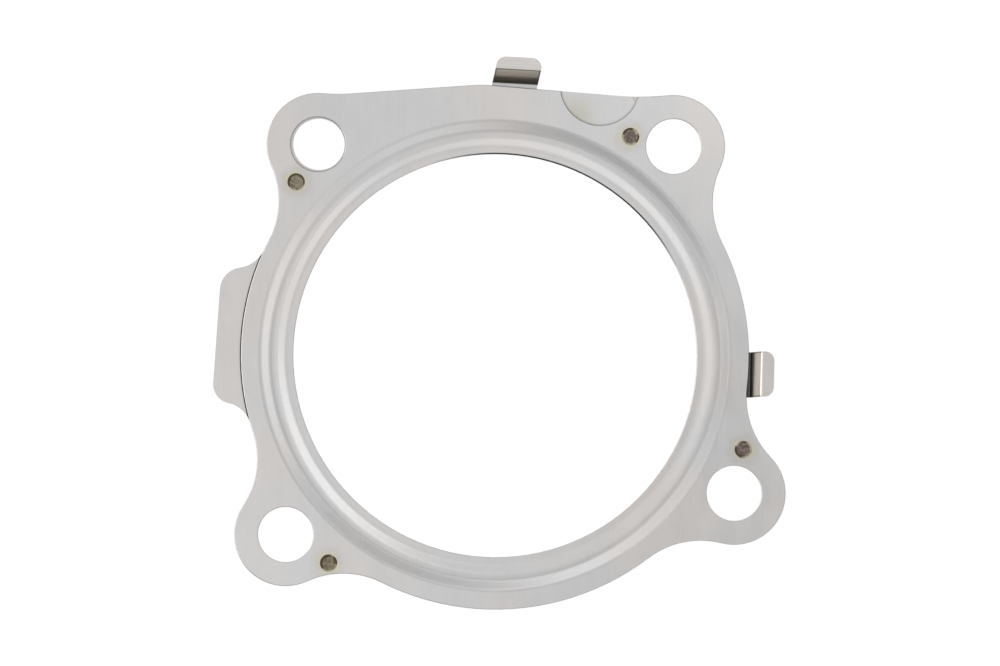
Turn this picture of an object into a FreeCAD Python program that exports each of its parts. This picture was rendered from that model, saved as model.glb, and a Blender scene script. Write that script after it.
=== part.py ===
import FreeCAD, Part
import math
import os

# Exhaust pipe gasket of three stainless sheets, in millimetres.
# The origin is on the bore axis, half way through the stack. +Z is the face with the
# identification notch, and the gasket lies flat on the crest of its lower bead.

V = FreeCAD.Vector
UP = V(0, 0, 1)
PARTS = "parts"

# Sheets and bore
sheet_t = 0.25
bore_d = 76.7

# Bead round the bore, pressed outwards into the top and bottom sheets. It lies between a narrow
# lip at the bore and a flat land.
lip_w = 1.45
bead_rise = 0.5
bead_inner_slope_w = 1.8
bead_crest_w = 1.2
bead_outer_slope_w = 1.9
land_w = 3.6

# Stud holes on one pitch circle, a little clear of the bead, each in an ear, and resistance spot
# welds, each a gap away from its ear's stud hole in its own direction
stud_hole_d = 10.5
stud_land_w = 2.45
ear_w = 4.55
ear_fillet_r = 16.3
weld_d = 3.3
weld_dent = 0.07
weld_rim_w = 0.35
ears = {
    "top_right": {"angle": 49.6, "weld_gap": 1.5, "weld_angle": 167.2},
    "top_left": {"angle": 130.0, "weld_gap": 1.4, "weld_angle": 240.0},
    "bottom_left": {"angle": 220.6, "weld_gap": 2.9, "weld_angle": 326.4},
    "bottom_right": {"angle": 330.1, "weld_gap": 1.6, "weld_angle": 78.1},
}

# The carrier's hole at the top left ear is the locating one: tighter, and set over a little
locating_ear = "top_left"
locating_step = 0.35
locating_shift = 0.2

# Top edge: two straight runs that fall away from an apex, each by an angle towards its own ear,
# a little inside the ear's crown
top_runs = {
    "top_left": {"fall_angle": 4.1, "inset": 0.55, "fillet_r": 30.0},
    "top_right": {"fall_angle": -4.6, "inset": 1.05, "fillet_r": 55.0},
}
apex_r = 20.0

# Half-round identification notch in the top sheet, and the small V in the carrier beside it.
# Both are placed along the right run.
notch_r = 7.55
notch_along = -15.8
notch_out = 1.6
nick_along = -22.9
nick_w = 1.55
nick_depth = 1.55

# Side tab of the carrier, with a straight edge square to its axis
tab_axis = 176.0
tab_proud = 4.75
tab_upper_corner = {"r": 4.4, "along": 8.9}
tab_lower_corner = {"r": 3.7, "along": 9.0}
tab_upper_fillet_r = 5.9
tab_lower_fillet_r = 5.3

# Locating hooks of the carrier: out past its edge by a step, up a steep wall, then out in a lip
hook_w = 8.6
hook_rise = 4.5
hook_lip_reach = 2.4
hook_inside_bend_r = 0.375
hook_corner_r = 1.8
hook_root_lap = 2.6
hooks = {
    "top": {"angle": 87.0, "step": 0.8, "wall_run": 2.2, "offset": -1.1, "lean_angle": 8.0},
    "right": {"angle": -1.6, "step": 0.37, "wall_run": 1.85, "offset": -2.25, "lean_angle": 0.0},
}

# A cutting tool runs this far past the faces it cuts, and outline points nearer than the
# touching gap are one point
cut_over = 1.0
touching_gap = 0.0001

bore_r = bore_d / 2
bead_inner_r = bore_r + lip_w
bead_outer_r = bead_inner_r + bead_inner_slope_w + bead_crest_w + bead_outer_slope_w
ring_r = bead_outer_r + land_w
stud_hole_r = stud_hole_d / 2
pitch_r = bead_outer_r + stud_land_w + stud_hole_r
ear_r = stud_hole_r + ear_w
carrier_top = sheet_t / 2
stack_half = 1.5 * sheet_t


def polar(radius, degrees, z=0.0):
    """Point at a radius and an angle from the bore axis."""
    a = math.radians(degrees)
    return V(radius * math.cos(a), radius * math.sin(a), z)


def stud_centre(ear):
    return polar(pitch_r, ears[ear]["angle"])


def run_normal(ear):
    """Direction square to the straight run beside an ear; the runs cross the Y axis."""
    return polar(1, 90 + top_runs[ear]["fall_angle"])


def run_distance(ear):
    """Distance from the bore axis to the straight run beside an ear."""
    return stud_centre(ear).dot(run_normal(ear)) + ear_r - top_runs[ear]["inset"]


def on_run(ear, along, out):
    """Point at a length along a straight run and a distance out from it."""
    n = run_normal(ear)
    return n * (run_distance(ear) + out) + V(-n.y, n.x, 0) * along


# Outlines: a closed belt of circles, each (centre, signed radius), taken counter-clockwise.
# A positive radius is a round corner and a negative one a concave fillet. Neighbours are
# joined by their common tangent, which has no length where the two circles touch.

def corner_between(a, b, radius):
    """Fillet of the given radius that touches circles a and b, on the right of a to b."""
    ca, ra = a
    cb, rb = b
    da, db = ra + radius, rb + radius
    d = (cb - ca).Length
    along = (da * da - db * db + d * d) / (2 * d)
    aside = math.sqrt(da * da - along * along)
    t = (cb - ca).normalize()
    right = V(t.y, -t.x, 0)
    return (ca + t * along + right * aside, -radius)


def corner_on_run(ear, before):
    """Fillet between an ear and its straight run, on the side where the run starts or ends."""
    f = top_runs[ear]["fillet_r"]
    n = run_normal(ear)
    t = V(-n.y, n.x, 0)
    off = run_distance(ear) + f
    across = stud_centre(ear).dot(t)
    rise = off - stud_centre(ear).dot(n)
    aside = math.sqrt((ear_r + f) ** 2 - rise ** 2)
    along = across + aside if before else across - aside
    return (n * off + t * along, -f)


def apex_circle():
    """Circle that touches the two straight runs from the inside."""
    na, nb = run_normal("top_right"), run_normal("top_left")
    da, db = run_distance("top_right") - apex_r, run_distance("top_left") - apex_r
    det = na.x * nb.y - na.y * nb.x
    return (V((da * nb.y - db * na.y) / det, (na.x * db - nb.x * da) / det, 0), apex_r)


def belt_face(circles):
    """Flat face inside a belt of circles."""
    joints = []
    for (ca, ra), (cb, rb) in zip(circles, circles[1:] + circles[:1]):
        step = cb - ca
        turn = math.acos(max(-1.0, min(1.0, (ra - rb) / step.Length)))
        a = math.atan2(step.y, step.x) - turn
        out = V(math.cos(a), math.sin(a), 0)
        leave, enter = ca + out * ra, cb + out * rb
        if leave.distanceToPoint(enter) < touching_gap:
            enter = leave
        joints.append((a, leave, enter))
    edges = []
    for i, (centre, r) in enumerate(circles):
        start_a, _, start = joints[i - 1]
        end_a, end, onward = joints[i]
        sweep = (end_a - start_a) % (2 * math.pi)
        if r < 0:
            sweep -= 2 * math.pi
        a = start_a + sweep / 2
        middle = centre + V(math.cos(a), math.sin(a), 0) * r
        edges.append(Part.Arc(start, middle, end).toShape())
        if onward is not end:
            edges.append(Part.LineSegment(end, onward).toShape())
    return Part.Face(Part.Wire(edges))


def body_circles(with_tab):
    """The gasket's outline: ring, four ears, the straight top runs and, if asked, the tab."""
    ring = (V(0, 0, 0), ring_r)
    ear = {name: (stud_centre(name), ear_r) for name in ears}
    right, left = ear["top_right"], ear["top_left"]
    low_left, low_right = ear["bottom_left"], ear["bottom_right"]
    circles = [
        ring,
        corner_between(ring, right, ear_fillet_r),
        right,
        corner_on_run("top_right", before=True),
        apex_circle(),
        corner_on_run("top_left", before=False),
        left,
        corner_between(left, ring, ear_fillet_r),
        ring,
    ]
    if with_tab:
        upper, lower = tab_corners()
        circles += [
            corner_between(ring, upper, tab_upper_fillet_r),
            upper,
            lower,
            corner_between(lower, ring, tab_lower_fillet_r),
            ring,
        ]
    circles += [
        corner_between(ring, low_left, ear_fillet_r),
        low_left,
        corner_between(low_left, ring, ear_fillet_r),
        ring,
        corner_between(ring, low_right, ear_fillet_r),
        low_right,
        corner_between(low_right, ring, ear_fillet_r),
    ]
    return circles


def tab_corners():
    """The two round corners of the side tab, touching its straight edge from inside."""
    n = polar(1, tab_axis)
    t = V(-n.y, n.x, 0)
    reach = ring_r + tab_proud
    upper = n * (reach - tab_upper_corner["r"]) - t * tab_upper_corner["along"]
    lower = n * (reach - tab_lower_corner["r"]) + t * tab_lower_corner["along"]
    return (upper, tab_upper_corner["r"]), (lower, tab_lower_corner["r"])


def prism(face, z0, z1):
    """Solid of a flat face between two heights."""
    return face.translated(V(0, 0, z0)).extrude(V(0, 0, z1 - z0))


def cylinder(centre, radius, z0, z1):
    return Part.makeCylinder(radius, z1 - z0, V(centre.x, centre.y, z0))


def bead_ring(mid_z, rise):
    """The beaded inner part of a sheet, from the bore to where its flat body starts."""
    widths = [lip_w, bead_inner_slope_w, bead_crest_w, bead_outer_slope_w, land_w / 2]
    heights = [0, rise, rise, 0, 0]
    r = bore_r
    lower = [V(r, 0, mid_z - sheet_t / 2)]
    for width, height in zip(widths, heights):
        r += width
        lower.append(V(r, 0, mid_z - sheet_t / 2 + height))
    upper = [point + V(0, 0, sheet_t) for point in reversed(lower)]
    section = Part.Face(Part.makePolygon(lower + upper + lower[:1]))
    return section.revolve(V(0, 0, 0), UP, 360)


def weld_centre(ear):
    distance = stud_hole_r + ears[ear]["weld_gap"] + weld_d / 2
    return stud_centre(ear) + polar(distance, ears[ear]["weld_angle"])


def cut_holes(solid, z0, z1, locating=False):
    """Stud holes and weld seats of one sheet."""
    low, high = z0 - cut_over, z1 + cut_over
    for ear in ears:
        centre, radius = stud_centre(ear), stud_hole_r
        if locating and ear == locating_ear:
            centre += V(locating_shift, 0, 0)
            radius -= locating_step
        solid = solid.cut(cylinder(centre, radius, low, high))
        solid = solid.cut(cylinder(weld_centre(ear), weld_d / 2, low, high))
    return solid


def beaded_sheet(mid_z, rise):
    """Flat body with the bead pressed into it, and its stud holes and weld seats."""
    z0, z1 = mid_z - sheet_t / 2, mid_z + sheet_t / 2
    body = prism(belt_face(body_circles(with_tab=False)), z0, z1)
    middle = cylinder(V(0, 0, 0), bead_outer_r + land_w / 2, z0 - cut_over, z1 + cut_over)
    sheet = body.cut(middle).fuse(bead_ring(mid_z, rise)).removeSplitter()
    return cut_holes(sheet, z0, z1)


def top_sheet():
    """Upper beaded sheet, with the half-round identification notch in its top edge."""
    centre = on_run("top_right", notch_along, notch_out)
    notch = cylinder(centre, notch_r, carrier_top - cut_over, stack_half + cut_over)
    return beaded_sheet(sheet_t, bead_rise).cut(notch)


def bottom_sheet():
    """Lower beaded sheet, the same with its bead pressed the other way."""
    return beaded_sheet(-sheet_t, -bead_rise)


# Bent strips: the mid-line is a list of (run, height) points, and every inner point is a bend
# of one mid-line radius. The two faces of the sheet are its offsets by half the thickness.

def strip_face(points, bend_r, thickness):
    """Section of a bent sheet in the XZ plane."""
    half = thickness / 2
    sides = {1: [], -1: []}
    last = {side: None for side in sides}
    steps = [(points[i + 1] - points[i]).normalize() for i in range(len(points) - 1)]
    for i, step in enumerate(steps):
        normal = V(-step.z, 0, step.x)
        for side in sides:
            start = last[side] or points[i] + normal * half * side
            end = points[i + 1] + normal * half * side
            if i + 1 < len(steps):
                ahead = steps[i + 1]
                turn = math.atan2(step.x * ahead.z - step.z * ahead.x, step.dot(ahead))
                sign = 1 if turn > 0 else -1
                setback = bend_r * math.tan(abs(turn) / 2)
                corner = points[i + 1]
                centre = corner - step * setback + normal * bend_r * sign
                r = bend_r - half * side * sign
                end = centre - normal * r * sign
                middle = centre + (corner - centre).normalize() * r
                after = centre - V(-ahead.z, 0, ahead.x) * r * sign
                sides[side].append(Part.LineSegment(start, end).toShape())
                sides[side].append(Part.Arc(end, middle, after).toShape())
                last[side] = after
            else:
                sides[side].append(Part.LineSegment(start, end).toShape())
                last[side] = end
    first = {side: sides[side][0].Vertexes[0].Point for side in sides}
    edges = sides[1] + sides[-1]
    edges.append(Part.LineSegment(first[1], first[-1]).toShape())
    edges.append(Part.LineSegment(last[1], last[-1]).toShape())
    return Part.Face(Part.Wire(Part.sortEdges(edges)[0]))


def hook(place, edge):
    """A hook that leaves the sheet's edge: a bent strip, trimmed to its outline in plan."""
    inner = edge - hook_root_lap
    foot = edge + place["step"]
    wall_top = foot + place["wall_run"]
    end = wall_top + hook_lip_reach
    points = [V(inner, 0, 0), V(foot, 0, 0), V(wall_top, 0, hook_rise), V(end, 0, hook_rise)]
    section = strip_face(points, hook_inside_bend_r + sheet_t / 2, sheet_t)
    blank = section.translated(V(0, -hook_w, 0)).extrude(V(0, 2 * hook_w, 0))

    lean = math.tan(math.radians(place["lean_angle"]))
    inner_x, outer_x = inner + hook_corner_r, end - hook_corner_r
    corners = []
    for x, side in ((inner_x, -1), (outer_x, -1), (outer_x, 1), (inner_x, 1)):
        y = side * (hook_w / 2 - hook_corner_r) - (x - foot) * lean
        corners.append((V(x, y, 0), hook_corner_r))
    trimmed = blank.common(prism(belt_face(corners), -cut_over, hook_rise + cut_over))
    trimmed.translate(V(0, place["offset"], 0))
    trimmed.rotate(V(0, 0, 0), UP, place["angle"])
    return trimmed


def nick_face():
    """The small V, drawn on past the edge to twice its depth."""
    apex = on_run("top_right", nick_along, -nick_depth)
    left = on_run("top_right", nick_along + nick_w, nick_depth)
    right = on_run("top_right", nick_along - nick_w, nick_depth)
    return Part.Face(Part.makePolygon([apex, right, left, apex]))


def carrier_sheet():
    """Flat middle sheet with the side tab, the two hooks and the small V in its top edge."""
    z0, z1 = -carrier_top, carrier_top
    sheet = prism(belt_face(body_circles(with_tab=True)), z0, z1)
    sheet = sheet.cut(cylinder(V(0, 0, 0), bore_r, z0 - cut_over, z1 + cut_over))
    edges = {"top": run_distance("top_right"), "right": ring_r}
    for name, place in hooks.items():
        sheet = sheet.fuse(hook(place, edges[name]))
    sheet = sheet.cut(prism(nick_face(), z0 - cut_over, z1 + cut_over)).removeSplitter()
    return cut_holes(sheet, z0, z1, locating=True)


def weld_nugget(ear):
    """Fused metal of an ear's spot weld, with the electrode's shallow dent in both ends."""
    r = weld_d / 2
    floor_r = r - weld_rim_w
    floor_z = stack_half - weld_dent
    upper = [V(0, 0, floor_z), V(floor_r, 0, floor_z), V(r, 0, stack_half)]
    lower = [V(point.x, 0, -point.z) for point in reversed(upper)]
    section = Part.Face(Part.makePolygon(upper + lower + upper[:1]))
    return section.revolve(V(0, 0, 0), UP, 360).translated(weld_centre(ear))


def main():
    os.makedirs(PARTS, exist_ok=True)
    nodes = {
        "top_sheet": top_sheet(),
        "carrier_sheet": carrier_sheet(),
        "bottom_sheet": bottom_sheet(),
    }
    for ear in ears:
        nodes["weld_" + ear] = weld_nugget(ear)
    for node, shape in nodes.items():
        shape.exportStep(PARTS + "/" + node + ".step")
        box = shape.BoundBox
        print(node, "solids", len(shape.Solids), "valid", shape.isValid(),
              "volume", round(shape.Volume, 2),
              "z", round(box.ZMin, 3), round(box.ZMax, 3))


main()
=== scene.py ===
"""Looks of an exhaust pipe gasket: three stainless sheets, spot welded together.

The CAD frame gives every place and size. The two beaded sheets and the welds are built again as
finer meshes, with rolled edges and smooth bends. The carrier sheet keeps its CAD mesh.
"""

import math
import random

import bpy
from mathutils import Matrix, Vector
from mathutils.geometry import tessellate_polygon


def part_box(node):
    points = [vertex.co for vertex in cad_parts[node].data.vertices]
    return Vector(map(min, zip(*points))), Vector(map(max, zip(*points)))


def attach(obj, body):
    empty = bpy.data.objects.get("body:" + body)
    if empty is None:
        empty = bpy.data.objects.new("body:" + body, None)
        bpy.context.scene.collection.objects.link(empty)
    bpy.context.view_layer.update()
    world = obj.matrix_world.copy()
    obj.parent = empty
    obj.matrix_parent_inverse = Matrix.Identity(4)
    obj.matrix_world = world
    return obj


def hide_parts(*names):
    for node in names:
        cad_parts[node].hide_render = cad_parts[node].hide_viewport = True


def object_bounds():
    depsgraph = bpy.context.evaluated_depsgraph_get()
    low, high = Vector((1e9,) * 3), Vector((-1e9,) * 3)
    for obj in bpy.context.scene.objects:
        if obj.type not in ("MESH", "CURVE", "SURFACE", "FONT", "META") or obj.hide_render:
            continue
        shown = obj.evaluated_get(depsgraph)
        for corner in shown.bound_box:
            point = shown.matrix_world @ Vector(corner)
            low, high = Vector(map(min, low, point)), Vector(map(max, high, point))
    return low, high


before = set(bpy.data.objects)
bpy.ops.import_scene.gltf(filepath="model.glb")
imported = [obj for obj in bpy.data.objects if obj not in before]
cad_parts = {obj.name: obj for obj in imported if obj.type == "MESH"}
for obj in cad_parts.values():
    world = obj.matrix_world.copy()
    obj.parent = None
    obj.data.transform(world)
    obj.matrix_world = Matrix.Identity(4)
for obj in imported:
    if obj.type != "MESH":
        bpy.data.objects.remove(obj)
cad_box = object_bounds()

MM = 0.001
SAME = 1e-6                      # two heights or radii nearer than this are one, in metres
WELDS = ("weld_top_left", "weld_top_right", "weld_bottom_left", "weld_bottom_right")

# Beaded sheets
SEGMENTS = 360                   # round the bore
BEND_R = 3.6 * MM                # radius of the bead's bends, on the sheet's outer face
BEND_STEPS = 10
BEAD_MARGIN = 1.0 * MM           # flat metal outside the bead that belongs to its rings
ROLL_R = 0.17 * MM               # rolled upper edge of a stamped outline
BURR_R = 0.03 * MM               # the sharper edge on the other face
ROLL_STEPS = 5
WELD_SEAM_R = 0.02 * MM          # edges of the sheets against the welds

# Carrier sheet
SMOOTH_ANGLE = 32.0              # facets of the hooks' bends that meet at less are one surface

# Spot welds, heights in metres and places as shares of the weld's radius
WELD_SEGMENTS = 96
WELD_RINGS = 26
WELD_DENT = 0.07 * MM
WELD_RIM_RISE = 0.035 * MM       # metal squeezed up round the electrode's dent
WELD_RIM_AT = 0.86
WELD_RIM_WANDER = 0.035          # the rim's crest isn't quite round
WELD_RIM_SHARE = 0.2             # width of the slope inside the crest
WELD_RIPPLE = 0.007 * MM
WELD_RINGS_SEEN = 2.6            # rings of the swirl in the dent
WELD_WAVES = 5
WELD_LEAN = 0.25                 # how much deeper the dent is on one side
WELD_RIM_ROUGH = 0.5             # how uneven the rim's height is
WELD_SHARP_ANGLE = 50.0          # degrees, between the rim and the weld's side
WELD_NEAR = 1.0 * MM             # a hole centred nearer than this to a weld holds it


# Mesh building

class Shell:
    """A mesh in the making: shared points, and faces whose corners have normals of their own."""

    def __init__(self):
        self.points = []
        self.faces = []

    def ring(self, points):
        """Adds points and returns their numbers."""
        first = len(self.points)
        self.points.extend(points)
        return list(range(first, len(self.points)))

    def bridge(self, ring_a, ring_b, normals_a, normals_b):
        """Quads between two closed rings of as many points."""
        count = len(ring_a)
        for i in range(count):
            j = (i + 1) % count
            self.faces.append(((ring_a[i], ring_a[j], ring_b[j], ring_b[i]),
                               (normals_a[i], normals_a[j], normals_b[j], normals_b[i])))

    def fill(self, rings, normal):
        """Flat triangles inside the first ring and outside the others."""
        numbers = [n for ring in rings for n in ring]
        outlines = [[self.points[n] for n in ring] for ring in rings]
        for corners in tessellate_polygon(outlines):
            self.faces.append((tuple(numbers[c] for c in corners), (normal,) * 3))

    def piece(self, name, material):
        """Turns every face to its normals and makes the object."""
        polygons, corner_normals = [], []
        for corners, normals in self.faces:
            a, b, c = (self.points[corners[k]] for k in (0, 1, 2))
            if (b - a).cross(c - b).dot(sum(normals, Vector())) < 0:
                corners, normals = corners[::-1], normals[::-1]
            polygons.append(corners)
            corner_normals.extend(normals)
        mesh = bpy.data.meshes.new(name)
        mesh.from_pydata(self.points, [], polygons)
        mesh.polygons.foreach_set("use_smooth", [True] * len(polygons))
        mesh.normals_split_custom_set([tuple(n) for n in corner_normals])
        return add_piece(name, mesh, material)


def add_piece(name, mesh, material):
    mesh.materials.append(material)
    piece = bpy.data.objects.new(name, mesh)
    bpy.context.scene.collection.objects.link(piece)
    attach(piece, "root")
    return piece


def smooth(x):
    """0 to 1 with a level start and end."""
    return x * x * (3 - 2 * x)


def flat_loops(node, z):
    """Closed outlines of a CAD node's level faces at height z: lists of 2-D vectors, with the
    metal on their left as seen along -Z."""
    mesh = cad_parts[node].data
    place = {}
    key_of = []
    for vertex in mesh.vertices:
        key = tuple(round(c / SAME) for c in vertex.co)
        place.setdefault(key, vertex.co.xy.copy())
        key_of.append(key)
    follows = {}
    for polygon in mesh.polygons:
        if all(abs(mesh.vertices[v].co.z - z) < SAME for v in polygon.vertices):
            keys = [key_of[v] for v in polygon.vertices]
            if polygon.normal.z < 0:
                keys.reverse()
            for a, b in zip(keys, keys[1:] + keys[:1]):
                if follows.get(b) and a in follows[b]:
                    follows[b].discard(a)
                else:
                    follows.setdefault(a, set()).add(b)
    loops = []
    while any(follows.values()):
        start = here = next(a for a, nexts in follows.items() if nexts)
        loop = []
        while follows.get(here):
            loop.append(place[here])
            here = follows[here].pop()
        if here == start:
            loops.append(loop)
    return loops


def radius_round_origin(loop):
    """Radius of a loop that is a circle round the bore axis, or None."""
    radii = [p.length for p in loop]
    return sum(radii) / len(radii) if max(radii) - min(radii) < 10 * SAME else None


def holds_weld(loop):
    """Whether a weld fills the hole that a loop goes round."""
    middle = sum(loop, Vector((0, 0))) / len(loop)
    centres = [sum(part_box(node), Vector()) / 2 for node in WELDS]
    return any((centre.xy - middle).length < WELD_NEAR for centre in centres)


def loop_normals(loop):
    """Unit normals away from the metal, and the stretch of each for a mitred offset."""
    made = []
    for i, point in enumerate(loop):
        before = (point - loop[i - 1]).normalized()
        after = (loop[(i + 1) % len(loop)] - point).normalized()
        out_a, out_b = Vector((before.y, -before.x)), Vector((after.y, -after.x))
        normal = (out_a + out_b).normalized()
        made.append((normal, 1 / max(0.5, normal.dot(out_b))))
    return made


# Beaded sheets

def edge_section(z_roll, z_burr, roll_r=ROLL_R, burr_r=BURR_R):
    """Section of a cut edge from one face to the other: (depth in the metal, z, slope), where
    slope is the angle of the normal above the outward direction."""
    up = 1 if z_roll > z_burr else -1
    section = []
    for radius, z, side in ((roll_r, z_roll, up), (burr_r, z_burr, -up)):
        arc = []
        for k in range(ROLL_STEPS + 1):
            a = math.pi / 2 * (1 - k / ROLL_STEPS)
            depth = radius * (1 - math.cos(a))
            arc.append((depth, z - side * radius * (1 - math.sin(a)), side * a))
        section += arc if side == up else arc[::-1]
    return section


def sweep_edge(shell, loop, section):
    """Sweeps a cut edge round a loop and returns its first and last rings."""
    normals = loop_normals(loop)
    rings = []
    for depth, z, slope in section:
        points, corner_normals = [], []
        for point, (normal, stretch) in zip(loop, normals):
            p = point - normal * depth * stretch
            points.append(Vector((p.x, p.y, z)))
            flat = normal * math.cos(slope)
            corner_normals.append(Vector((flat.x, flat.y, math.sin(slope))))
        rings.append((shell.ring(points), corner_normals))
    for (ring_a, normals_a), (ring_b, normals_b) in zip(rings, rings[1:]):
        shell.bridge(ring_a, ring_b, normals_a, normals_b)
    return rings[0][0], rings[-1][0]


def bent_line(points, radius, steps):
    """A line of (r, z) points with its corners bent: (r, z, angle of the line)."""
    line = [(points[0][0], points[0][1], 0.0)]
    for (ra, za), (rb, zb), (rc, zc) in zip(points, points[1:], points[2:]):
        a, b = math.atan2(zb - za, rb - ra), math.atan2(zc - zb, rc - rb)
        turn = b - a
        setback = radius * math.tan(abs(turn) / 2)
        side = math.copysign(radius, turn)
        start_r, start_z = rb - setback * math.cos(a), zb - setback * math.sin(a)
        centre_r, centre_z = start_r - side * math.sin(a), start_z + side * math.cos(a)
        for k in range(steps + 1):
            angle = a + turn * k / steps
            line.append((centre_r + side * math.sin(angle), centre_z - side * math.cos(angle),
                         angle))
    line.append((points[-1][0], points[-1][1], 0.0))
    return line


def circle(radius, z):
    """Points of a ring round the bore axis."""
    step = 2 * math.pi / SEGMENTS
    return [Vector((radius * math.cos(i * step), radius * math.sin(i * step), z))
            for i in range(SEGMENTS)]


def revolve(shell, line, side):
    """Turns a line of (r, z, slope) round the bore axis; returns its first and last rings."""
    step = 2 * math.pi / SEGMENTS
    rings = []
    for r, z, slope in line:
        across, up = -math.sin(slope) * side, math.cos(slope) * side
        normals = [Vector((across * math.cos(i * step), across * math.sin(i * step), up))
                   for i in range(SEGMENTS)]
        rings.append((shell.ring(circle(r, z)), normals))
    for (ring_a, normals_a), (ring_b, normals_b) in zip(rings, rings[1:]):
        shell.bridge(ring_a, ring_b, normals_a, normals_b)
    return rings[0][0], rings[-1][0]


def join_reversed(shell, ring_a, ring_b):
    """Makes two rings at the same places, one of them taken the other way round, one ring."""
    count = len(ring_b)
    same = {ring_a[i]: ring_b[count - 1 - i] for i in range(count)}
    shell.faces = [(tuple(same.get(n, n) for n in corners), normals)
                   for corners, normals in shell.faces]


def round_radii(node, z):
    """Radii of the edges round the bore axis on the flat faces of a node at a height."""
    return sorted(filter(None, map(radius_round_origin, flat_loops(node, z))))


def beaded_sheet(node, up, material):
    """A beaded sheet with smooth bends and rolled edges, for the CAD node of that name.
    up is 1 where its bead points up and -1 where it points down."""
    low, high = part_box(node)
    crest_z = high.z if up > 0 else low.z
    back_z = low.z if up > 0 else high.z
    face_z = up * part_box(WELDS[0])[1].z              # the welds end level with the sheet's face
    sheet_t = abs(face_z - back_z)
    bore_r, inner_foot_r, outer_foot_r = round_radii(node, back_z)
    crest = round_radii(node, crest_z)
    cuts = [loop for loop in flat_loops(node, back_z) if not radius_round_origin(loop)]

    corners = [(bore_r + ROLL_R, face_z), (inner_foot_r, face_z), (crest[0], crest_z),
               (crest[1], crest_z), (outer_foot_r, face_z), (outer_foot_r + BEAD_MARGIN, face_z)]
    line = bent_line(corners, BEND_R, BEND_STEPS)
    under = [(r, z - up * sheet_t, slope) for r, z, slope in line]
    under[0] = (bore_r + BURR_R, back_z, 0.0)

    shell = Shell()
    front_inner, front_outer = revolve(shell, line, up)
    back_inner, back_outer = revolve(shell, under, -up)
    bore = [Vector((p.x, p.y)) for p in reversed(circle(bore_r, 0))]
    section = edge_section(face_z, back_z)
    bore_front, bore_back = sweep_edge(shell, bore, section)
    join_reversed(shell, bore_front, front_inner)
    join_reversed(shell, bore_back, back_inner)

    outline = max(cuts, key=lambda loop: max(p.length for p in loop))
    cuts.remove(outline)
    seam = edge_section(face_z, back_z, WELD_SEAM_R, WELD_SEAM_R)
    edges = [sweep_edge(shell, loop, seam if holds_weld(loop) else section)
             for loop in [outline] + cuts]
    for end, ring, normal in ((0, front_outer, up), (1, back_outer, -up)):
        shell.fill([edge[end] for edge in edges] + [ring], Vector((0, 0, normal)))
    piece = shell.piece(node + "_formed", material)
    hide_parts(node)


# Carrier sheet

def dress_carrier(material):
    """Gives the carrier its material, and makes the bends of its hooks one smooth surface."""
    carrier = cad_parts["carrier_sheet"]
    carrier.data.materials.clear()
    carrier.data.materials.append(material)
    tree = bpy.data.node_groups.new("smooth_bends", "GeometryNodeTree")
    tree.interface.new_socket("Geometry", in_out="INPUT", socket_type="NodeSocketGeometry")
    tree.interface.new_socket("Geometry", in_out="OUTPUT", socket_type="NodeSocketGeometry")
    source, result = tree.nodes.new("NodeGroupInput"), tree.nodes.new("NodeGroupOutput")
    merge = tree.nodes.new("GeometryNodeMergeByDistance")
    merge.inputs["Distance"].default_value = SAME
    soft = tree.nodes.new("GeometryNodeSetShadeSmooth")
    soft.inputs["Shade Smooth"].default_value = True
    angle = tree.nodes.new("GeometryNodeInputMeshEdgeAngle")
    compare = tree.nodes.new("FunctionNodeCompare")
    compare.operation = "GREATER_THAN"
    compare.inputs["B"].default_value = math.radians(SMOOTH_ANGLE)
    creased = tree.nodes.new("GeometryNodeSetShadeSmooth")
    creased.domain = "EDGE"
    creased.inputs["Shade Smooth"].default_value = False
    tree.links.new(source.outputs[0], merge.inputs["Geometry"])
    tree.links.new(merge.outputs["Geometry"], soft.inputs["Geometry"])
    tree.links.new(soft.outputs["Geometry"], creased.inputs["Geometry"])
    tree.links.new(angle.outputs["Unsigned Angle"], compare.inputs["A"])
    tree.links.new(compare.outputs["Result"], creased.inputs["Selection"])
    tree.links.new(creased.outputs["Geometry"], result.inputs[0])
    carrier.modifiers.new("smooth_bends", "NODES").node_group = tree


# Spot welds

class Dish:
    """Shape of one weld's ends: a rippled dent inside a rim that isn't quite round."""

    def __init__(self, seed):
        draw = random.Random(seed)
        self.waves = [(k, draw.uniform(0, 2 * math.pi), draw.uniform(0.3, 1.0) / k)
                      for k in range(1, WELD_WAVES + 1)]
        self.lean = draw.uniform(0, 2 * math.pi)

    def unevenness(self, angle):
        """How far the weld departs from round at an angle, from about -1 to 1."""
        return sum(size * math.sin(k * angle + phase) for k, phase, size in self.waves) / 1.5

    def height(self, share, angle):
        """Height over the sheet's face at a share of the radius."""
        crest = WELD_RIM_AT + WELD_RIM_WANDER * self.unevenness(angle)
        rough = self.unevenness(angle + 7 * share)
        if share > crest:
            return WELD_RIM_RISE * math.cos((share - crest) / (1 - crest) * math.pi / 2)
        inward = smooth(min(1, (crest - share) / WELD_RIM_SHARE))
        floor = -WELD_DENT * (1 + WELD_LEAN * share * math.cos(angle - self.lean))
        swirl = math.cos(2 * math.pi * WELD_RINGS_SEEN * share + 2 * angle)
        rim = WELD_RIM_RISE * (1 + WELD_RIM_ROUGH * rough)
        return rim * (1 - inward) + (floor + WELD_RIPPLE * (swirl + rough)) * inward


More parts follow.
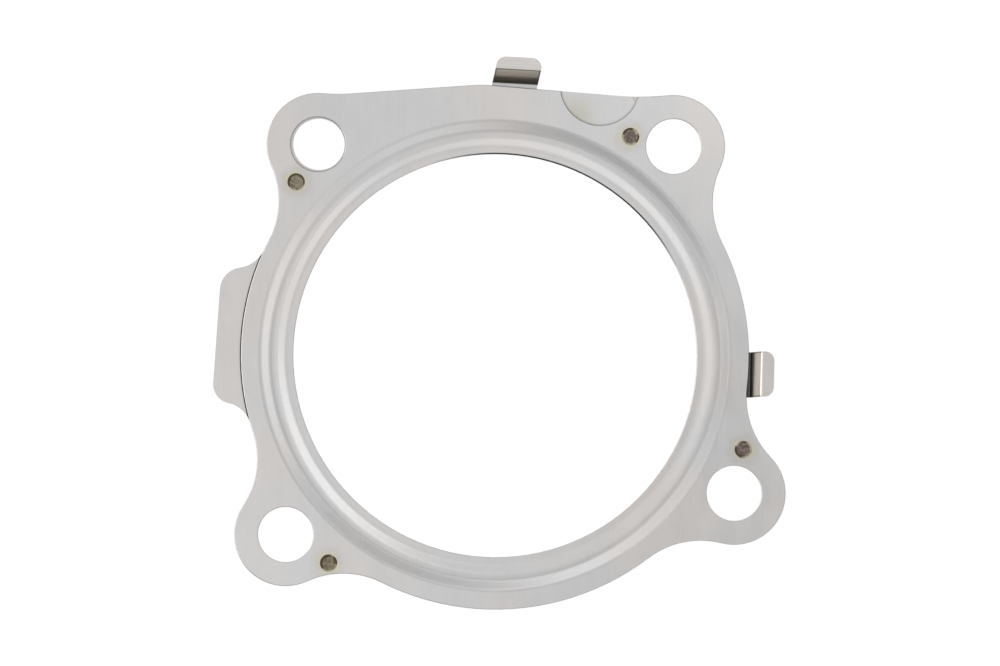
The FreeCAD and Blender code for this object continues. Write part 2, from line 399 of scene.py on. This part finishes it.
def weld_piece(node, material, seed):
    """A spot weld with a squeezed-up rim and a rippled dent in both of its ends."""
    low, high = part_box(node)
    centre, radius, face_z = (low + high) / 2, (high.x - low.x) / 2, high.z
    dish = Dish(seed)
    points, faces, ends = [], [], []
    for side in (1, -1):
        middle = len(points)
        points.append(centre + Vector((0, 0, side * (face_z + dish.height(0, 0)))))
        for ring in range(1, WELD_RINGS + 1):
            share = ring / WELD_RINGS
            for k in range(WELD_SEGMENTS):
                angle = 2 * math.pi * k / WELD_SEGMENTS
                points.append(centre + Vector((radius * share * math.cos(angle),
                                               radius * share * math.sin(angle),
                                               side * (face_z + dish.height(share, angle)))))
        for k in range(WELD_SEGMENTS):
            j = (k + 1) % WELD_SEGMENTS
            inner = middle + 1
            faces.append((middle, inner + k, inner + j)[::side])
            for ring in range(WELD_RINGS - 1):
                outer = inner + WELD_SEGMENTS
                faces.append((inner + k, outer + k, outer + j, inner + j)[::side])
                inner = outer
        ends.append(len(points) - WELD_SEGMENTS)
    top, bottom = ends
    for k in range(WELD_SEGMENTS):
        j = (k + 1) % WELD_SEGMENTS
        faces.append((top + k, bottom + k, bottom + j, top + j))
    mesh = bpy.data.meshes.new(node + "_formed")
    mesh.from_pydata(points, [], faces)
    mesh.polygons.foreach_set("use_smooth", [True] * len(faces))
    mesh.set_sharp_from_angle(angle=math.radians(WELD_SHARP_ANGLE))
    piece = add_piece(node + "_formed", mesh, material)
    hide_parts(node)


# Materials

STEEL_WARM = (0.617, 0.590, 0.574)
STEEL_COOL = (0.590, 0.588, 0.588)
STEEL_CUT_AND_SHADE = (0.16, 0.155, 0.15)      # sheared edges: duller metal, and painted shade that darkens them
ROUGHNESS = 0.29
CUT_ROUGHER = 0.25                   # how much rougher the sheared edges are
CUT_METALLIC = 0.35
SMUDGE_DEPTH = 0.10 * MM             # of slow waves, some 25 mm long
GRAIN_DEPTH = 0.0022 * MM
FINE_GRAIN_DEPTH = 0.0009 * MM
CREVICE_SHADE = (0.10, 0.095, 0.09)        # painted shade where one sheet's edge stands on another
CREVICE_REACH = 0.6 * MM

# Painted shade lines: widths in millimetres, and the middle and half the length of each, in
# degrees
SHADE_LINE = (0.03, 0.03, 0.03)
BORE_SHADE_W = 0.32                   # painted shade along the bore's edge at its upper right
BORE_SHADE_AT = (66.0, 44.0)
TAB_SHADOW_W = 0.26                    # painted shadow on the side tab, against the sheet above it
TAB_SHADOW_AT = (180.0, 34.0)
TAB_HALF_W = 8.0 * MM

# Shades of the bead, in millimetres, degrees and shares
CREST_BLUR = 0.4
CREST_SHADE = 0.25
BEND_SHADE_TOWARD = 42.0             # painted shade on the two outer bends, darkest this way and opposite
BEND_SHADE_W = 0.52                  # to either side of a bend's middle
BEND_SHADE = 0.08                    # all round, and more that way and opposite
BEND_SHADE_MORE = 0.42
SLOPE_HIGHLIGHT_TOWARD = 185.0          # painted highlight on the inner slope, brightest this way
SLOPE_HIGHLIGHT = 0.14

# Heat tints round the welds. A reach is how far from a weld's centre, in millimetres, a tint
# starts, and how near it is full.
STRAW = (0.60, 0.565, 0.43)
STRAW_REACH = (2.7, 1.75)
SMOKE = (0.49, 0.44, 0.39)
SMOKE_REACH = (4.0, 1.7)
SMOKE_SHARE = 0.45

# Olive tint in the half-round notch, at its lower left, in millimetres
NOTCH_OLIVE = (0.50, 0.485, 0.40)
NOTCH_TINT_AT = (15.3, 45.2)
NOTCH_TINT_R = 5.6
NOTCH_TINT_SHARE = 0.75

# Hooks
HOOK_STEEP = (0.2, 0.7)              # upward part of the normals on the hooks' walls
HOOK_WALL_SHADE_LOW = (0.34, 0.31, 0.26)   # painted light and shade on the walls: brownish and dark low down
HOOK_WALL_SHADE_HIGH = (0.74, 0.68, 0.59)  # and light near the lip
HOOK_LIP = (0.645, 0.62, 0.595)
HOOK_DARK_EDGE = (0.20, 0.18, 0.15)       # darker along the wall's sides, and painted shade at the bend to the lip
# Painted shade bands at the feet of the top and the right hook: from and to in plan, in
# millimetres about the foot, and colour; and how dark the painted shade line at the bend to the
# lip is
HOOK_FOOT_SHADES = (
    (-0.15, 0.85, (0.13, 0.117, 0.09), 0.85),
    (-3.0, 0.50, (0.040, 0.037, 0.032), 0.0),
)

# Weld metal
WELD_GREY = (0.25, 0.215, 0.16)
WELD_BROWN = (0.205, 0.172, 0.122)
WELD_PURPLE = (0.19, 0.145, 0.135)
WELD_OLIVE = (0.36, 0.33, 0.22)
WELD_BURNT = (0.055, 0.045, 0.025)
WELD_SWIRL_DEPTH = 0.05 * MM
WELD_FINE_DEPTH = 0.008 * MM
# Looks of the welds: colour of the heart, its reach as a share of the radius, and the burnt
# stretches of the rim, each as its azimuth and half its length in degrees
WELD_LOOKS = {
    "weld_top_left": (WELD_GREY, 0.92, ((140, 75), (18, 42))),
    "weld_top_right": (WELD_PURPLE, 0.76, ((118, 46), (345, 30))),
    "weld_bottom_left": (WELD_BROWN, 0.90, ((150, 72), (22, 26))),
    "weld_bottom_right": (WELD_PURPLE, 0.85, ((92, 18), (208, 52))),
}


def times(factor, colour):
    """A written colour made darker or lighter."""
    return tuple(factor * c for c in colour)


class Graph:
    """A material's nodes. place is a point's place in millimetres of the part's frame, flat the
    same in plan, and level is 1 on level faces and 0 on upright ones."""

    def __init__(self, name):
        self.material = bpy.data.materials.new(name)
        self.material.use_nodes = True
        self.tree = self.material.node_tree
        self.shader = self.tree.nodes["Principled BSDF"]
        place = self.tree.nodes.new("ShaderNodeTexCoord").outputs["Object"]
        self.place = self.vector("MULTIPLY", place, (1 / MM,) * 3)
        self.flat = self.vector("MULTIPLY", self.place, (1, 1, 0))
        normal = self.tree.nodes.new("ShaderNodeNewGeometry").outputs["Normal"]
        self.level = self.math("ABSOLUTE", self.vector("DOT_PRODUCT", normal, (0, 0, 1)))

    def put(self, socket, value):
        if hasattr(value, "is_linked"):
            self.tree.links.new(value, socket)
        elif hasattr(value, "__len__") and socket.type == "RGBA":
            socket.default_value = (*value, 1)
        else:
            socket.default_value = value

    def math(self, operation, *values):
        node = self.tree.nodes.new("ShaderNodeMath")
        node.operation = operation
        for socket, value in zip(node.inputs, values):
            self.put(socket, value)
        return node.outputs[0]

    def vector(self, operation, *values):
        node = self.tree.nodes.new("ShaderNodeVectorMath")
        node.operation = operation
        for socket, value in zip(node.inputs, values):
            self.put(socket, value)
        return node.outputs["Value" if operation in ("LENGTH", "DISTANCE", "DOT_PRODUCT")
                            else "Vector"]

    def product(self, first, *others):
        """Shares multiplied together."""
        for other in others:
            first = self.math("MULTIPLY", first, other)
        return first

    def swayed(self, value, noise, swing):
        """A value moved by a noise from 0 to 1, by up to half of swing each way."""
        return self.math("MULTIPLY_ADD", self.math("SUBTRACT", noise, 0.5), swing, value)

    def shaded(self, colour, factor):
        """A colour from a node made darker or lighter."""
        made = self.vector("SCALE", colour)
        self.put(made.node.inputs["Scale"], factor)
        return made

    def toward(self, direction, azimuth):
        """Cosine of the angle between a direction in plan and an azimuth in degrees."""
        angle = math.radians(azimuth)
        return self.vector("DOT_PRODUCT", direction, (math.cos(angle), math.sin(angle), 0))

    def fade(self, value, start, end, low=0.0, high=1.0):
        """low at start and high at end, smooth between them."""
        node = self.tree.nodes.new("ShaderNodeMapRange")
        node.interpolation_type = "SMOOTHSTEP"
        self.put(node.inputs["Value"], value)
        for name, number in (("From Min", start), ("From Max", end), ("To Min", low),
                             ("To Max", high)):
            node.inputs[name].default_value = number
        return node.outputs["Result"]

    def noise(self, stretch, detail=2.0, rough=0.5, place=None, twist=0.0):
        """Noise from 0 to 1, with stretch the number of its waves in a millimetre."""
        node = self.tree.nodes.new("ShaderNodeTexNoise")
        node.inputs["Scale"].default_value = 1
        node.inputs["Detail"].default_value = detail
        node.inputs["Roughness"].default_value = rough
        node.inputs["Distortion"].default_value = twist
        scaled = self.vector("MULTIPLY", place or self.place, stretch)
        self.put(node.inputs["Vector"], scaled)
        return node.outputs["Fac"]

    def joined(self, x, y):
        """A place made of two numbers."""
        node = self.tree.nodes.new("ShaderNodeCombineXYZ")
        self.put(node.inputs["X"], x)
        self.put(node.inputs["Y"], y)
        return node.outputs["Vector"]

    def mix(self, share, a, b):
        """The colour a where share is 0 and b where it is 1."""
        node = self.tree.nodes.new("ShaderNodeMix")
        node.data_type = "RGBA"
        self.put(node.inputs["Factor"], share)
        self.put(node.inputs[6], a)
        self.put(node.inputs[7], b)
        return node.outputs[2]

    def bump(self, height, depth):
        """Bump with its height from 0 to 1 standing for a depth in metres."""
        node = self.tree.nodes.new("ShaderNodeBump")
        node.inputs["Distance"].default_value = depth
        self.put(node.inputs["Height"], height)
        return node

    def openness(self, reach):
        """1 in the open, less where something stands closer than reach, in metres."""
        node = self.tree.nodes.new("ShaderNodeAmbientOcclusion")
        node.samples = 8
        node.inputs["Distance"].default_value = reach
        return node.outputs["AO"]

    def finish(self, colour, roughness, *bumps, metallic=1.0):
        self.put(self.shader.inputs["Metallic"], metallic)
        self.put(self.shader.inputs["Base Color"], colour)
        self.put(self.shader.inputs["Roughness"], roughness)
        for before, after in zip(bumps, bumps[1:]):
            self.put(after.inputs["Normal"], before.outputs["Normal"])
        self.put(self.shader.inputs["Normal"], bumps[-1].outputs["Normal"])
        return self.material


def weld_distance(g):
    """Distance in plan from the nearest weld's centre, in millimetres."""
    nearest = None
    for node in WELDS:
        low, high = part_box(node)
        centre = (low + high) / 2 / MM
        distance = g.vector("DISTANCE", g.flat, (centre.x, centre.y, 0))
        nearest = g.math("MINIMUM", nearest, distance) if nearest else distance
    return nearest


def ring_shade_line(g, colour, radius, width, stretch):
    """A painted shade line just outside a radius about the bore axis, along a stretch of its ring.
    """
    azimuth, half_length = stretch
    distance = g.math("SUBTRACT", g.vector("LENGTH", g.flat), radius)
    near = g.product(g.fade(distance, width, 0.6 * width), g.fade(distance, -0.1, 0))
    toward = g.toward(g.vector("NORMALIZE", g.flat), azimuth)
    at_end, half_way = (math.cos(math.radians(share * half_length)) for share in (1, 0.5))
    along = g.fade(toward, at_end, half_way, 0, 0.97)
    return g.mix(g.product(near, along), colour, SHADE_LINE)


def bore_shade_line(g, colour):
    """A painted shade line along the bore's edge, at its upper right."""
    bore_r = min(v.co.xy.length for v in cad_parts["carrier_sheet"].data.vertices) / MM
    return ring_shade_line(g, colour, bore_r, BORE_SHADE_W, BORE_SHADE_AT)


def tab_shadow_line(g, colour):
    """A painted shadow line on the tab, along the edge of the top sheet."""
    left = [v.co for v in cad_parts["top_sheet"].data.vertices
            if v.co.x < 0 and abs(v.co.y) < TAB_HALF_W]
    edge_r = max(co.xy.length for co in left) / MM
    return ring_shade_line(g, colour, edge_r, TAB_SHADOW_W, TAB_SHADOW_AT)


def sheet_metal(name, tint, crevice_shade, patches):
    """Rolled stainless sheet with its grain along Y. tint is a function that adds the heat
    colours and the painted light and shade of this sheet: it takes the graph and the bare colour,
    and returns the colour. crevice_shade is how dark the painted shade in the corners between the
    sheets is, from 0 to 1, and patches moves the warm and cool patches, in millimetres."""
    g = Graph(name)
    cut = g.fade(g.level, 0.35, 0.1)
    smudge = g.noise((0.045, 0.035, 0.045), detail=1, place=g.vector("ADD", g.place, patches))
    cloud = g.noise((0.21, 0.12, 0.2), detail=3, rough=0.6)
    fine_grain = g.noise((7.5, 0.22, 7.5), detail=2)
    grain = g.noise((2.2, 0.05, 2.2), detail=3, rough=0.65)
    shear = g.noise((5, 5, 0.6), detail=2)

    shade = 1.0
    for noise, swing in ((cloud, 0.10), (grain, 0.07), (fine_grain, 0.06)):
        shade = g.swayed(shade, noise, swing)
    colour = g.shaded(g.mix(g.fade(smudge, 0.38, 0.62), STEEL_COOL, STEEL_WARM), shade)
    colour = tint(g, colour)
    # sheared and steep faces: their duller metal, darkened further as painted shade
    colour = g.mix(cut, colour, g.mix(shear, times(0.8, STEEL_CUT_AND_SHADE), STEEL_CUT_AND_SHADE))
    # painted shade in the corners where one sheet's edge stands on another
    colour = g.mix(g.fade(g.openness(CREVICE_REACH), 0.97, 0.72, 0, crevice_shade), colour, CREVICE_SHADE)
    # painted shade line along the bore's edge at its upper right
    colour = bore_shade_line(g, colour)

    roughness = g.math("MULTIPLY_ADD", cloud, 0.08, ROUGHNESS - 0.04)
    roughness = g.math("MULTIPLY_ADD", cut, CUT_ROUGHER, roughness)
    metallic = g.fade(cut, 0, 1, 1, CUT_METALLIC)
    return g.finish(colour, roughness, g.bump(smudge, SMUDGE_DEPTH), g.bump(grain, GRAIN_DEPTH),
                    g.bump(fine_grain, FINE_GRAIN_DEPTH), metallic=metallic)


def weld_tint(g, colour):
    """Straw-coloured patches in the steel round each weld, fading to a warm grey."""
    ragged = g.noise((0.9, 0.9, 0.9), detail=3, rough=0.6)
    distance = g.swayed(weld_distance(g), ragged, 1.8)
    colour = g.mix(g.fade(distance, *SMOKE_REACH, 0, SMOKE_SHARE), colour, SMOKE)
    patchy = g.fade(g.noise((0.4, 0.4, 0.4), detail=1), 0.42, 0.58, 0.25, 0.9)
    return g.mix(g.product(patchy, g.fade(distance, *STRAW_REACH)), colour, STRAW)


def bead_tint_and_shade(g, colour):
    """The bead's crest a little darker; painted shade along its two outer bends, darkest at the
    upper right and the lower left; and a painted highlight on its inner slope, brightest toward
    the left."""
    low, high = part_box("top_sheet")
    foot_in, foot_out = (r / MM for r in round_radii("top_sheet", low.z)[1:])
    crest_in, crest_out = (r / MM for r in round_radii("top_sheet", high.z))
    radius = g.vector("LENGTH", g.flat)
    direction = g.vector("NORMALIZE", g.flat)

    # painted highlight on the inner slope, brightest toward the left
    slope = g.product(g.fade(radius, foot_in - 0.2, foot_in + 0.4),
                      g.fade(radius, crest_in + 0.6, crest_in))
    toward = g.toward(direction, SLOPE_HIGHLIGHT_TOWARD)
    highlight = g.product(slope, g.fade(toward, 0.25, 0.85, 0, SLOPE_HIGHLIGHT))
    colour = g.shaded(colour, g.math("ADD", highlight, 1.0))

    # the crest a little darker
    crest_band = g.product(g.fade(radius, crest_in, crest_in + 2 * CREST_BLUR),
                     g.fade(radius, crest_out + CREST_BLUR, crest_out - CREST_BLUR))
    colour = g.mix(g.product(crest_band, CREST_SHADE), colour, times(0.7, STEEL_COOL))

    # painted shade along the two outer bends, strongest at the upper right and the lower left
    toward = g.toward(direction, BEND_SHADE_TOWARD)
    depth = g.math("MULTIPLY_ADD", g.product(toward, toward), BEND_SHADE_MORE, BEND_SHADE)
    for bend_r in (crest_out, foot_out):
        off = g.math("ABSOLUTE", g.math("SUBTRACT", radius, bend_r))
        share = g.product(g.fade(off, BEND_SHADE_W, 0.1), depth)
        colour = g.mix(share, colour, times(0.3, STEEL_COOL))
    return colour


def beaded_tint_and_shade(g, colour):
    # the welds' heat tints over the bead's tint, painted shade and painted highlight
    return weld_tint(g, bead_tint_and_shade(g, colour))


def notch_tint(g, colour):
    """A faint olive tint on the carrier where it shows in the notch."""
    distance = g.vector("DISTANCE", g.flat, (*NOTCH_TINT_AT, 0))
    return g.mix(g.fade(distance, NOTCH_TINT_R, 0.5, 0, NOTCH_TINT_SHARE), colour, NOTCH_OLIVE)


def hook_places():
    """Of the top and the right hook, from the carrier's steep faces and in millimetres: its
    outward direction, the direction along its bends, the middle of its foot, half its width,
    and how far its middle shifts to the side in a millimetre outward."""
    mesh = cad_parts["carrier_sheet"].data
    walls = [p for p in mesh.polygons
             if p.center.z > 0.5 * MM and HOOK_STEEP[0] < p.normal.z < HOOK_STEEP[1]]
    upper = [p for p in walls if p.center.y > p.center.x]
    made = []
    for wall in (upper, [p for p in walls if p not in upper]):
        out = -sum((p.normal * p.area for p in wall), Vector())
        out = Vector((out.x, out.y, 0)).normalized()
        side = Vector((-out.y, out.x, 0))
        corners = [mesh.vertices[v].co / MM for p in wall for v in p.vertices]
        foot, head = (pick(c.dot(out) for c in corners) for pick in (min, max))
        at_foot, at_head = ([c.dot(side) for c in corners if abs(c.dot(out) - end) < 0.2]
                            for end in (foot, head))
        half_w = (max(at_foot) - min(at_foot)) / 2
        shift = (max(at_head) + min(at_head) - max(at_foot) - min(at_foot)) / 2
        middle = out * foot + side * (min(at_foot) + half_w)
        made.append((out, side, middle, half_w, shift / (head - foot)))
    return made


def hook_tint_and_shade(g, colour):
    """The hooks' walls brownish, dark low down and light near the lip, as painted light and
    shade; a painted shade band where they leave the sheet; a painted shade line at the top hook's
    bend to the lip; darker along the walls' sides; and streaked along their bends."""
    height = g.vector("DOT_PRODUCT", g.place, (0, 0, 1))
    raised = g.fade(height, 0.15, 0.6)
    steep = g.product(g.fade(g.level, 0.97, 0.75), raised)
    bent = g.product(g.fade(g.level, 0.975, 0.93), g.fade(g.level, 0.70, 0.78))
    # painted light and shade on the hooks' walls: brownish and dark low down, light near the lip
    wall = g.mix(g.fade(height, 0.4, 4.3), HOOK_WALL_SHADE_LOW, HOOK_WALL_SHADE_HIGH)
    colour = g.mix(raised, colour, HOOK_LIP)
    colour = g.mix(steep, colour, wall)
    for place, band in zip(hook_places(), HOOK_FOOT_SHADES):
        out, side, middle, half_w, lean = place
        band_in, band_out, burn_and_shade, bend = band
        offset = g.vector("SUBTRACT", g.place, tuple(middle))
        along = g.vector("DOT_PRODUCT", offset, tuple(out))
        across = g.vector("DOT_PRODUCT", offset, tuple(side - lean * out))
        streaks = g.noise((1, 1, 1), detail=3, rough=0.65,
                          place=g.joined(g.product(along, 2.2), g.product(across, 0.12)))
        ragged = g.swayed(along, streaks, 0.6)
        across = g.math("ABSOLUTE", across)
        near = g.fade(across, half_w + 1.4, half_w + 1.0)
        here = g.product(near, g.fade(along, -0.6, -0.1))
        streaked = g.product(here, raised, g.fade(streaks, 0.35, 0.7, 0, 0.22))
        colour = g.mix(streaked, colour, times(0.6, STEEL_COOL))
        edge = g.product(g.fade(across, half_w - 0.45, half_w - 0.15), steep, here, 0.75)
        colour = g.mix(edge, colour, HOOK_DARK_EDGE)
        # painted shade band at the hook's foot
        dark = g.product(g.fade(ragged, band_out + 0.35, band_out - 0.15),
                         g.fade(along, band_in - 0.15, band_in + 0.1), near, 0.97)
        colour = g.mix(dark, colour, burn_and_shade)
        # painted shade line at the bend to the lip
        line = g.product(bent, here, g.fade(height, 3.5, 4.0, 0, bend))
        colour = g.mix(line, colour, HOOK_DARK_EDGE)
    return colour


def carrier_tint_and_shade(g, colour):
    # the notch's tint, then the tab's painted shadow line and the hooks' painted light and shade
    return hook_tint_and_shade(g, tab_shadow_line(g, notch_tint(g, colour)))


def weld_metal(node):
    """Burnt weld metal: dark along stretches of the rim, with a swirled heart."""
    heart, reach, stretches = WELD_LOOKS[node]
    g = Graph("burnt_" + node)
    low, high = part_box(node)
    centre = (low + high) / 2 / MM
    radius = (high.x - low.x) / 2 / MM
    out = g.vector("SUBTRACT", g.flat, (centre.x, centre.y, 0))
    ragged = g.noise((1.3, 1.3, 1.3), detail=3, rough=0.6)
    swirl = g.noise((0.75, 0.75, 0.75), detail=2, rough=0.6, twist=3.5)
    fine = g.noise((5, 5, 5), detail=2)
    share = g.swayed(g.math("DIVIDE", g.vector("LENGTH", out), radius), ragged, 0.30)

    burn_and_shade = 0.0
    direction = g.vector("NORMALIZE", out)
    for azimuth, half_length in stretches:
        toward = g.swayed(g.toward(direction, azimuth), ragged, 0.6)
        start, end = (math.cos(math.radians(half_length + d)) for d in (14, -10))
        burn_and_shade = g.math("MAXIMUM", burn_and_shade, g.fade(toward, start, end))
    ring = g.product(g.fade(share, 0.66, 0.84), g.fade(share, 1.12, 0.98))

    colour = g.mix(g.fade(swirl, 0.40, 0.60), times(0.55, heart), times(1.2, heart))
    around = g.mix(g.fade(swirl, 0.48, 0.72), WELD_OLIVE, STEEL_WARM)
    colour = g.mix(g.fade(share, reach - 0.22, reach + 0.12), colour, around)
    colour = g.mix(g.product(burn_and_shade, ring, 0.95), colour, WELD_BURNT)
    colour = g.mix(g.product(fine, 0.12), colour, WELD_GREY)
    roughness = g.math("MULTIPLY_ADD", fine, 0.2, 0.30)
    return g.finish(colour, roughness, g.bump(swirl, WELD_SWIRL_DEPTH),
                    g.bump(fine, WELD_FINE_DEPTH))


# Stage, lamps and camera

IMAGE_W, IMAGE_H = 1000, 666
PIXEL = 0.19 * MM                # size of a pixel of the photograph at the gasket
BORE_PIXEL = (495.1, 355.6)      # where the bore's centre lies in the photograph
CAMERA_AZIMUTH = 240.0           # direction that the camera stands off in, from +X
CAMERA_TILT = 4.0                # degrees off straight down
CAMERA_DISTANCE = 3.0
CAMERA_CLIP = (0.05, 20.0)
SENSOR = 36.0

FLOOR_HALF = 1.5
FLOOR_WHITE = 0.90               # what the floor shows of itself
FLOOR_SHADE = 0.16               # what it takes from the light, so that it keeps the shadow
FLOOR_LIT = 0.9                  # what it gives back to rough surfaces

# Soft boxes that face down: x, y and height (mm), turn (degrees), half width and half length
# (mm) and brightness. No two are level, because a reflected ray would miss the second.
LAMPS = {
    "main": (-51, 34, 310, 39, 260, 310, 0.25),
    "upper_right": (147, 80, 307, 62, 57, 101, 1.12),
    "lower_left": (-29, -118, 304, 62, 39, 136, 1.05),
    "lower_right": (160, -156, 301, 0, 86, 139, 0.70),
    "left": (-237, 46, 298, 0, 106, 118, 0.73),
    "middle": (-56, 108, 295, 6, 89, 180, 0.42),
    "top": (-9, 219, 292, -24, 201, 53, 0.28),
}
WATTS_PER_M2 = math.pi           # lamp power that gives a brightness of 1 on a square metre

# Upright soft boxes: x, y and height (mm), direction faced (degrees), half height and half
# length (mm) and brightness. The left one is low, for bright lines where the sheets bend.
SIDE_LAMPS = {
    "left_wall": (-520, 20, 210, 0, 160, 330, 2.2),
    "front_wall": (0, -520, 390, 90, 110, 360, 0.5),
}

CEILING = 0.27                   # brightness of the room overhead, between the lamps
GLOW = (0.20, 1.0)               # and near the horizon, on its darkest and brightest side
GLOW_AZIMUTH = 125.0             # direction of the bright side
GLOW_FROM, GLOW_TO = 35.0, 12.0  # elevations between which the ceiling turns to the glow
FILL = 0.45                      # brightness of the room for rough surfaces


def add_camera():
    tilt, azimuth = math.radians(CAMERA_TILT), math.radians(CAMERA_AZIMUTH)
    back = Vector((math.sin(tilt) * math.cos(azimuth), math.sin(tilt) * math.sin(azimuth),
                   math.cos(tilt)))
    aim = Vector(((IMAGE_W / 2 - BORE_PIXEL[0]) * PIXEL, (BORE_PIXEL[1] - IMAGE_H / 2) * PIXEL, 0))
    data = bpy.data.cameras.new("camera")
    data.sensor_width = SENSOR
    data.lens = SENSOR * CAMERA_DISTANCE / (IMAGE_W * PIXEL)
    data.clip_start, data.clip_end = CAMERA_CLIP
    camera = bpy.data.objects.new("camera", data)
    right = Vector((0, 1, 0)).cross(back).normalized()
    up = back.cross(right)
    camera.location = aim + back * CAMERA_DISTANCE
    rotation = camera.matrix_world.to_3x3()
    rotation.col[0], rotation.col[1], rotation.col[2] = right, up, back
    camera.rotation_euler = rotation.to_euler()
    bpy.context.scene.collection.objects.link(camera)
    bpy.context.scene.camera = camera


def seen_or_mirrored(tree):
    """1 for rays that show white surroundings: the camera's own, and reflected ones."""
    path = tree.nodes.new("ShaderNodeLightPath")
    seen = path.outputs["Is Camera Ray"]
    for name in ("Is Glossy Ray", "Is Transmission Ray"):
        either = tree.nodes.new("ShaderNodeMath")
        either.operation = "MAXIMUM"
        tree.links.new(seen, either.inputs[0])
        tree.links.new(path.outputs[name], either.inputs[1])
        seen = either.outputs[0]
    return seen


def add_floor():
    z = cad_box[0].z
    half = FLOOR_HALF
    mesh = bpy.data.meshes.new("floor")
    mesh.from_pydata([(-half, -half, z), (half, -half, z), (half, half, z), (-half, half, z)],
                     [], [(0, 1, 2, 3)])
    floor = bpy.data.objects.new("floor", mesh)
    bpy.context.scene.collection.objects.link(floor)
    material = bpy.data.materials.new("floor_white")
    material.use_nodes = True
    tree = material.node_tree
    tree.nodes.clear()
    own, shade, plain = (tree.nodes.new(kind) for kind in (
        "ShaderNodeEmission", "ShaderNodeBsdfDiffuse", "ShaderNodeBsdfDiffuse"))
    own.inputs["Strength"].default_value = FLOOR_WHITE
    shade.inputs["Color"].default_value = (FLOOR_SHADE,) * 3 + (1,)
    plain.inputs["Color"].default_value = (FLOOR_LIT,) * 3 + (1,)
    both, mix, out = (tree.nodes.new(kind) for kind in (
        "ShaderNodeAddShader", "ShaderNodeMixShader", "ShaderNodeOutputMaterial"))
    tree.links.new(own.outputs[0], both.inputs[0])
    tree.links.new(shade.outputs[0], both.inputs[1])
    tree.links.new(seen_or_mirrored(tree), mix.inputs[0])
    tree.links.new(plain.outputs[0], mix.inputs[1])
    tree.links.new(both.outputs[0], mix.inputs[2])
    tree.links.new(mix.outputs[0], out.inputs["Surface"])
    mesh.materials.append(material)


def add_lamp(name, place, rotation, half_w, half_l, brightness):
    """A soft box of an even brightness, with its place and size in millimetres."""
    data = bpy.data.lights.new(name, "AREA")
    data.shape = "RECTANGLE"
    data.size, data.size_y = 2 * half_w * MM, 2 * half_l * MM
    data.energy = brightness * WATTS_PER_M2 * data.size * data.size_y
    lamp = bpy.data.objects.new(name, data)
    lamp.location = Vector(place) * MM
    lamp.rotation_euler = rotation
    lamp.visible_camera = False
    bpy.context.scene.collection.objects.link(lamp)


def add_lamps():
    for name, (x, y, z, turn, half_w, half_l, brightness) in LAMPS.items():
        add_lamp(name, (x, y, z), (0, 0, math.radians(turn)), half_w, half_l, brightness)


def add_side_lamps():
    for name, (x, y, z, faced, half_h, half_l, brightness) in SIDE_LAMPS.items():
        add_lamp(name, (x, y, z), (0, -math.pi / 2, math.radians(faced)), half_h, half_l,
                 brightness)


def add_world():
    """White to the camera; a dim ceiling over a glow that is brightest on one side to the
    metal's reflections; and an even fill to rough surfaces."""
    world = bpy.data.worlds.new("studio")
    bpy.context.scene.world = world
    world.use_nodes = True
    tree = world.node_tree

    def node(kind, operation=None):
        made = tree.nodes.new(kind)
        if operation:
            made.operation = operation
        return made

    def link(value, socket):
        tree.links.new(value, socket)

    direction = node("ShaderNodeTexCoord").outputs["Generated"]
    split = node("ShaderNodeSeparateXYZ")
    link(direction, split.inputs[0])
    low = node("ShaderNodeMapRange")
    low.interpolation_type = "SMOOTHSTEP"
    low.inputs["From Min"].default_value = math.sin(math.radians(GLOW_TO))
    low.inputs["From Max"].default_value = math.sin(math.radians(GLOW_FROM))
    low.inputs["To Min"].default_value, low.inputs["To Max"].default_value = 1, 0
    link(split.outputs["Z"], low.inputs["Value"])
    azimuth = math.radians(GLOW_AZIMUTH)
    side = node("ShaderNodeVectorMath", "DOT_PRODUCT")
    link(direction, side.inputs[0])
    side.inputs[1].default_value = (math.cos(azimuth), math.sin(azimuth), 0)
    glow = node("ShaderNodeMapRange")
    glow.inputs["From Min"].default_value, glow.inputs["From Max"].default_value = 0, 1
    glow.inputs["To Min"].default_value, glow.inputs["To Max"].default_value = GLOW
    link(side.outputs["Value"], glow.inputs["Value"])

    def mix(share, a, b):
        made = node("ShaderNodeMix")
        made.data_type = "FLOAT"
        link(share, made.inputs["Factor"])
        for socket, value in ((made.inputs["A"], a), (made.inputs["B"], b)):
            if isinstance(value, float):
                socket.default_value = value
            else:
                link(value, socket)
        return made.outputs["Result"]

    path = node("ShaderNodeLightPath")
    room = mix(low.outputs["Result"], CEILING, glow.outputs["Result"])
    lit = mix(path.outputs["Is Diffuse Ray"], room, FILL)
    seen = mix(path.outputs["Is Camera Ray"], lit, 1.0)
    background = tree.nodes["Background"]
    background.inputs["Color"].default_value = (1, 1, 1, 1)
    link(seen, background.inputs["Strength"])


def main():
    beaded_steel = sheet_metal("beaded_steel", beaded_tint_and_shade, crevice_shade=0.3, patches=(0, 0, 0))
    beaded_sheet("top_sheet", 1, beaded_steel)
    beaded_sheet("bottom_sheet", -1, beaded_steel)
    dress_carrier(sheet_metal("carrier_steel", carrier_tint_and_shade, crevice_shade=0.5, patches=(35, 20, 0)))
    for seed, node in enumerate(WELDS):
        weld_piece(node, weld_metal(node), seed)
    add_floor()
    add_lamps()
    add_side_lamps()
    add_world()
    add_camera()
    bpy.context.scene.view_settings.view_transform = "Standard"


main()
